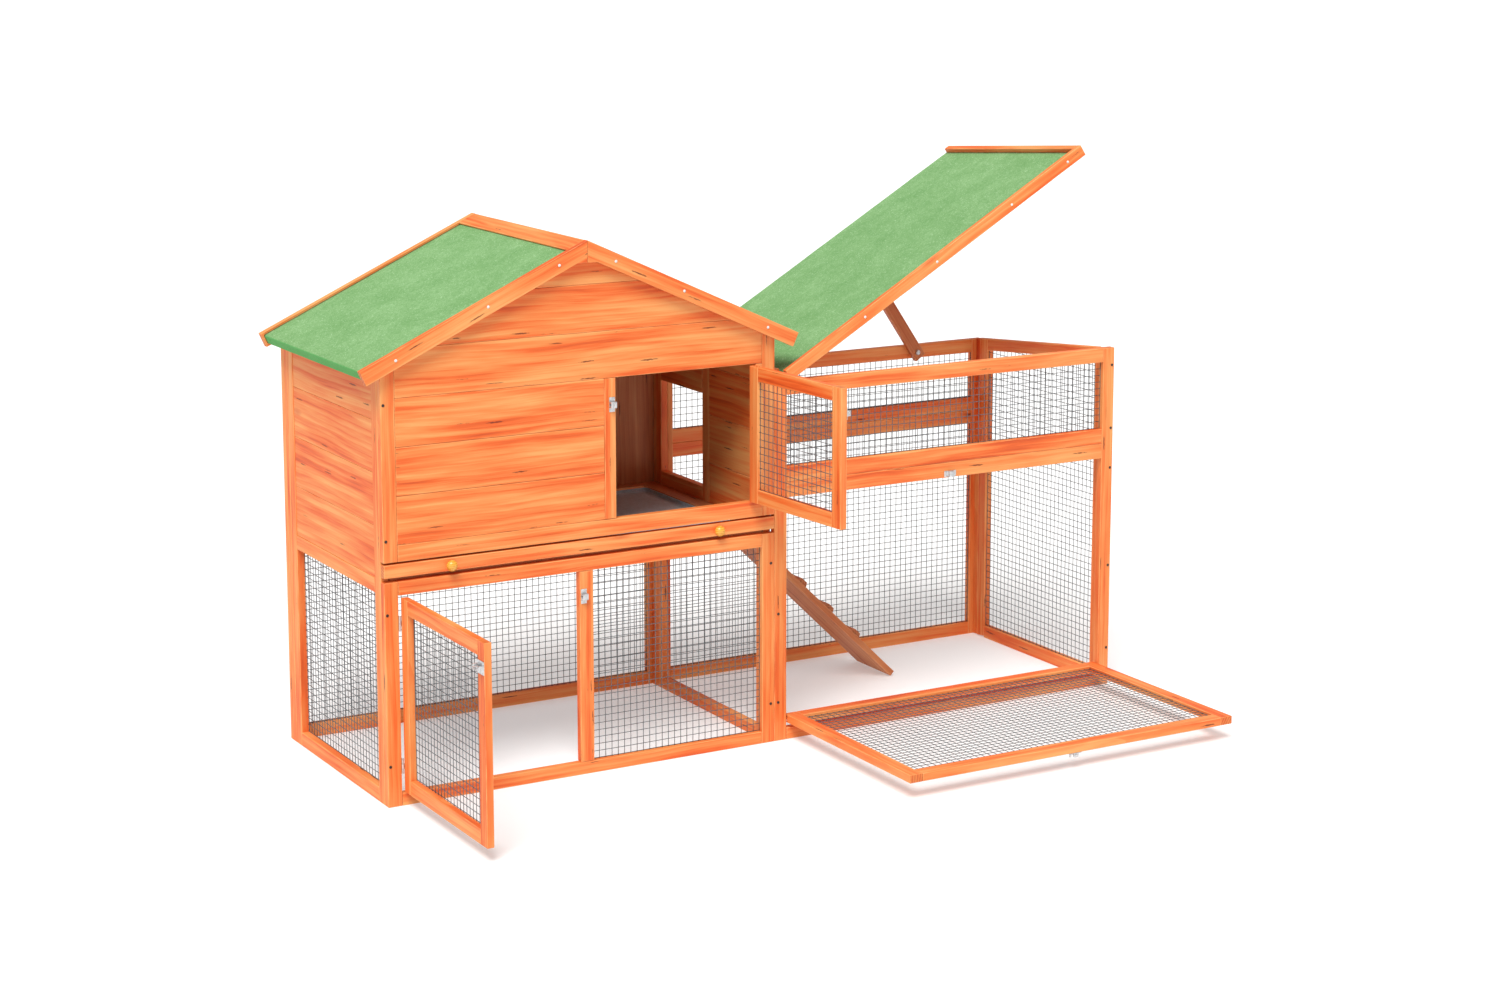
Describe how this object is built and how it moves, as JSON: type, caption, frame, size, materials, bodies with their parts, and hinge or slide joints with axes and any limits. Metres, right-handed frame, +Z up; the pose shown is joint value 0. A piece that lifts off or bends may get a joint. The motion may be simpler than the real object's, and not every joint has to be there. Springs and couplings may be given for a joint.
{
  "type": "rabbit hutch",
  "caption": "Two-storey gabled rabbit hutch with a mesh pen below and a lidded mesh run beside it, with doors, flap, ramp and slide-out tray.",
  "frame": {"origin": "on the ground, at the middle of the underside of the cross rail between the pen and the run", "axes": "+X along the length from the house to the run, +Y to the back, +Z up; the doors, flap and tray are on the -Y side"},
  "size_m": [1.546, 0.8683, 1.0557],
  "materials": {
    "fir": "orange stained fir, sawn, satin",
    "plain_fir": "stained fir in shade, sawn",
    "felt": "green mineral-surfaced roofing felt, matt",
    "mesh_wire": "galvanised",
    "hardware": "zinc plated",
    "tray_zinc": "galvanised sheet, dull",
    "knob_wood": "turned, clear lacquer",
    "nail_white": "white heads",
    "screw_dark": "dark bronze"
  },
  "bodies": {
    "hutch": {"left_frame": "fir", "left_wall_planks": "fir", "left_mesh": "mesh_wire", "front_pen_frame": "fir", "front_pen_mesh": "mesh_wire", "back_pen_frame": "fir", "back_pen_mesh": "mesh_wire", "right_frame": "fir", "right_wall_planks": "fir", "floor_slats": "plain_fir", "floor_trims": "plain_fir", "front_wall_frame": "fir", "front_wall_planks": "fir", "back_wall_planks": "plain_fir", "roof_board_left": "plain_fir", "roof_board_right": "plain_fir", "roof_felt": "felt", "barge_boards_front": "fir", "barge_boards_back": "fir", "ridge_strips": "fir", "white_nails": "nail_white", "frame_screws": "screw_dark", "door_hinges": "hardware", "bolt_keepers": "hardware", "run_front_frame": "fir", "run_front_mesh": "mesh_wire", "run_end_frame": "fir", "run_end_mesh": "mesh_wire", "run_back_frame": "fir", "run_back_mesh": "mesh_wire", "flap_pins": "hardware", "lid_ledger": "fir", "lid_hinges": "hardware", "prop_bolt": "hardware", "ramp_hinge": "hardware"},
    "upper_door": {"upper_door_frame": "fir", "upper_door_mesh": "mesh_wire", "upper_door_leaves": "hardware", "upper_bolt_case": "hardware"},
    "upper_door_bolt": {"upper_bolt": "hardware"},
    "lower_door": {"lower_door_frame": "fir", "lower_door_mesh": "mesh_wire", "lower_door_leaves": "hardware", "lower_bolt_case": "hardware"},
    "lower_door_bolt": {"lower_bolt": "hardware"},
    "run_flap": {"flap_frame": "fir", "flap_mesh": "mesh_wire", "flap_bolt_case": "hardware"},
    "run_flap_bolt": {"flap_bolt": "hardware"},
    "run_lid": {"lid_board": "plain_fir", "lid_felt": "felt", "lid_edging": "fir", "lid_nails": "nail_white", "lid_leaves": "hardware"},
    "lid_prop": {"prop_stick": "plain_fir"},
    "tray": {"tray_front": "fir", "tray_pan": "tray_zinc", "tray_knobs": "knob_wood"},
    "ramp": {"ramp_board": "plain_fir", "ramp_cleats": "plain_fir"}
  },
  "joints": [
    {"name": "upper_door_hinge", "type": "hinge", "parent": "hutch", "child": "upper_door", "pos_m": [-0.0323, -0.23026, 0.575], "axis": [0, 0, 1], "range_deg": [-94.5, 68]},
    {"name": "upper_bolt_slide", "type": "slide", "parent": "upper_door", "child": "upper_door_bolt", "axis": [0.0785, -0.9969, 0], "range_m": [0, 0.012]},
    {"name": "lower_door_hinge", "type": "hinge", "parent": "hutch", "child": "lower_door", "pos_m": [-0.7189, -0.23026, 0.195], "axis": [0, 0, 1], "range_deg": [-80, 90]},
    {"name": "lower_bolt_slide", "type": "slide", "parent": "lower_door", "child": "lower_door_bolt", "axis": [0, -1, 0], "range_m": [0, 0.012]},
    {"name": "flap_hinge", "type": "hinge", "parent": "hutch", "child": "run_flap", "pos_m": [0.3835, -0.2245, 0.0345], "axis": [1, 0, 0], "range_deg": [-90, 0]},
    {"name": "flap_bolt_slide", "type": "slide", "parent": "run_flap", "child": "run_flap_bolt", "axis": [0, -1, 0], "range_m": [0, 0.012]},
    {"name": "lid_hinge", "type": "hinge", "parent": "hutch", "child": "run_lid", "pos_m": [0.0305, -0.0035, 0.663], "axis": [0, 1, 0], "range_deg": [0, 30.2]},
    {"name": "prop_pivot", "type": "hinge", "parent": "hutch", "child": "lid_prop", "pos_m": [0.5925, 0.2045, 0.606], "axis": [0, 1, 0], "range_deg": [-145.7, 0]},
    {"name": "tray_slide", "type": "slide", "parent": "hutch", "child": "tray", "axis": [0, -1, 0], "range_m": [0, 0.38]},
    {"name": "ramp_pivot", "type": "hinge", "parent": "hutch", "child": "ramp", "pos_m": [0.0185, 0.087, 0.3977], "axis": [0, 1, 0], "range_deg": [-60, 0]}
  ],
  "couplings": [
    {"joint": "prop_pivot", "follows": "lid_hinge", "ratio": -4.8212}
  ]
}
